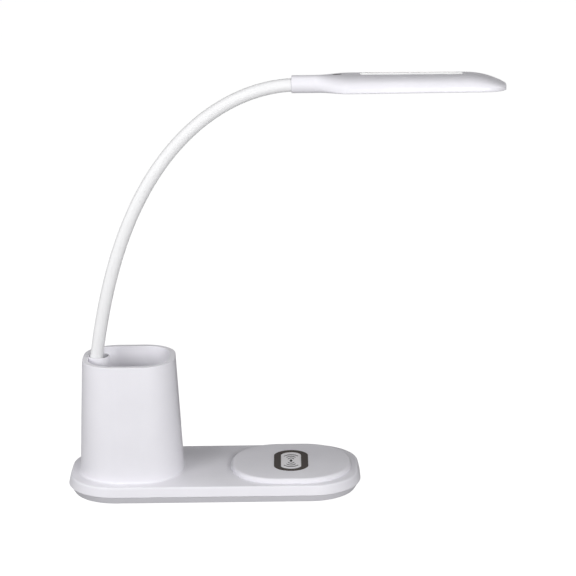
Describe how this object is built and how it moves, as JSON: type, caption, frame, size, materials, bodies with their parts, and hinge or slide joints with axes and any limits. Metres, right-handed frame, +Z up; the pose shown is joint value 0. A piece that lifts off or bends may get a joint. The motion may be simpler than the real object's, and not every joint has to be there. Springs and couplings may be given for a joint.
{
  "type": "desk lamp with pen cup and charging pad",
  "caption": "LED desk lamp on a long oval base: pen cup with a bendable gooseneck arm and slim light head at one end, flat phone charging pad at the other.",
  "frame": {"origin": "centre of the base's footprint, on the desk", "axes": "+X along the base towards the charging pad and the light head, +Y to the rear, +Z up"},
  "size_m": [0.3699, 0.1074, 0.3545],
  "materials": {
    "white_shell": "fine satin moulded ABS, white",
    "foot_rubber": "soft grey anti-slip rubber",
    "steel_screws": "zinc-plated steel",
    "ballast_steel": "black-passivated steel plate",
    "circuit_board": "green solder mask",
    "chip_black": "black moulded components",
    "inlet_metal": "nickel-plated shell",
    "grip_rubber": "dark warm grey silicone",
    "white_trim": "pale plastic plate with a plain wave symbol",
    "copper_wire": "enamelled copper litz winding",
    "ferrite_dark": "ferrite sheet",
    "arm_steel": "bright steel",
    "lead_jacket": "white PVC jacket",
    "gloss_inlay": "glossy white inlay strip",
    "touch_key_grey": "grey touch mark",
    "contact_foam": "conductive foam",
    "diffuser_opal": "satin opal diffuser",
    "reflector_white": "white reflector",
    "led_board_white": "white aluminium-core board",
    "led_phosphor": "LED packages",
    "arm_silicone": "smooth white silicone sleeve"
  },
  "bodies": {
    "root": {"base_top_shell": "white_shell", "base_bottom_cover": "white_shell", "anti_slip_ring": "foot_rubber", "base_screws": "steel_screws", "ballast_plate": "ballast_steel", "charger_board": "circuit_board", "charger_components": "chip_black", "board_screws": "steel_screws", "power_inlet": "inlet_metal", "charging_pad_cover": "white_shell", "pad_grip_ring": "grip_rubber", "pad_symbol_plate": "white_trim", "charging_coil": "copper_wire", "ferrite_sheet": "ferrite_dark", "cup_outer_shell": "white_shell", "cup_liner": "white_shell", "cup_screws": "steel_screws", "arm_stem": "arm_steel", "arm_washer": "arm_steel", "arm_lock_nut": "arm_steel", "base_lead": "lead_jacket", "arm_sleeve_00": "arm_silicone"},
    "arm_link_01": {"arm_core_01": "arm_steel", "arm_sleeve_01": "arm_silicone"},
    "arm_link_02": {"arm_core_02": "arm_steel", "arm_sleeve_02": "arm_silicone"},
    "arm_link_03": {"arm_core_03": "arm_steel", "arm_sleeve_03": "arm_silicone"},
    "arm_link_04": {"arm_core_04": "arm_steel", "arm_sleeve_04": "arm_silicone"},
    "arm_link_05": {"arm_core_05": "arm_steel", "arm_sleeve_05": "arm_silicone"},
    "arm_link_06": {"arm_core_06": "arm_steel", "arm_sleeve_06": "arm_silicone"},
    "arm_link_07": {"arm_core_07": "arm_steel", "arm_sleeve_07": "arm_silicone"},
    "arm_link_08": {"arm_core_08": "arm_steel", "arm_sleeve_08": "arm_silicone"},
    "arm_link_09": {"arm_core_09": "arm_steel", "arm_sleeve_09": "arm_silicone"},
    "arm_link_10": {"arm_core_10": "arm_steel", "arm_sleeve_10": "arm_silicone"},
    "arm_link_11": {"arm_core_11": "arm_steel", "arm_sleeve_11": "arm_silicone"},
    "lamp_head": {"arm_core_12": "arm_steel", "arm_sleeve_12": "arm_silicone", "head_top_shell": "white_shell", "head_lower_cover": "white_shell", "head_top_inlay": "gloss_inlay", "touch_key": "touch_key_grey", "touch_board": "circuit_board", "touch_contact_pad": "contact_foam", "light_diffuser": "diffuser_opal", "reflector_frame": "reflector_white", "led_board": "led_board_white", "led_chips": "led_phosphor", "head_screws": "steel_screws", "arm_grub_screw": "arm_steel", "head_lead": "lead_jacket"}
  },
  "joints": [
    {"name": "lower_bend", "type": "hinge", "parent": "root", "child": "arm_link_01", "pos_m": [-0.09688, 0, 0.12714], "axis": [0, 1, 0], "range_deg": [-5.5, 7]},
    {"name": "lower_sway", "type": "hinge", "parent": "arm_link_01", "child": "arm_link_02", "pos_m": [-0.09216, 0, 0.1523], "axis": [0.9829, 0, -0.1844], "range_deg": [-12, 12]},
    {"name": "lower_bend_2", "type": "hinge", "parent": "arm_link_02", "child": "arm_link_03", "pos_m": [-0.08629, 0, 0.17722], "axis": [0, 1, 0], "range_deg": [-5.5, 7]},
    {"name": "lower_sway_2", "type": "hinge", "parent": "arm_link_03", "child": "arm_link_04", "pos_m": [-0.07906, 0, 0.20177], "axis": [0.9592, 0, -0.2828], "range_deg": [-12, 12]},
    {"name": "lower_bend_3", "type": "hinge", "parent": "arm_link_04", "child": "arm_link_05", "pos_m": [-0.0702, 0, 0.22578], "axis": [0, 1, 0], "range_deg": [-5.5, 7]},
    {"name": "upper_bend", "type": "hinge", "parent": "arm_link_05", "child": "arm_link_06", "pos_m": [-0.05946, 0, 0.24901], "axis": [0, 1, 0], "range_deg": [-11, 8]},
    {"name": "upper_sway", "type": "hinge", "parent": "arm_link_06", "child": "arm_link_07", "pos_m": [-0.04657, 0, 0.27112], "axis": [0.8639, 0, -0.5037], "range_deg": [-12, 12]},
    {"name": "upper_bend_2", "type": "hinge", "parent": "arm_link_07", "child": "arm_link_08", "pos_m": [-0.03131, 0, 0.29165], "axis": [0, 1, 0], "range_deg": [-11, 8]},
    {"name": "upper_bend_3", "type": "hinge", "parent": "arm_link_08", "child": "arm_link_09", "pos_m": [-0.01351, 0, 0.31002], "axis": [0, 1, 0], "range_deg": [-11, 8]},
    {"name": "upper_sway_2", "type": "hinge", "parent": "arm_link_09", "child": "arm_link_10", "pos_m": [0.00684, 0, 0.32551], "axis": [0.6058, 0, -0.7956], "range_deg": [-12, 12]},
    {"name": "upper_bend_4", "type": "hinge", "parent": "arm_link_10", "child": "arm_link_11", "pos_m": [0.02954, 0, 0.33727], "axis": [0, 1, 0], "range_deg": [-11, 8]},
    {"name": "upper_bend_5", "type": "hinge", "parent": "arm_link_11", "child": "lamp_head", "pos_m": [0.05409, 0, 0.34435], "axis": [0, 1, 0], "range_deg": [-11, 8]}
  ],
  "couplings": [
    {"joint": "lower_bend_2", "follows": "lower_bend", "ratio": 1},
    {"joint": "lower_sway_2", "follows": "lower_sway", "ratio": 1},
    {"joint": "lower_bend_3", "follows": "lower_bend", "ratio": 1},
    {"joint": "upper_bend_2", "follows": "upper_bend", "ratio": 1},
    {"joint": "upper_bend_3", "follows": "upper_bend", "ratio": 1},
    {"joint": "upper_sway_2", "follows": "upper_sway", "ratio": 1},
    {"joint": "upper_bend_4", "follows": "upper_bend", "ratio": 1},
    {"joint": "upper_bend_5", "follows": "upper_bend", "ratio": 1}
  ]
}
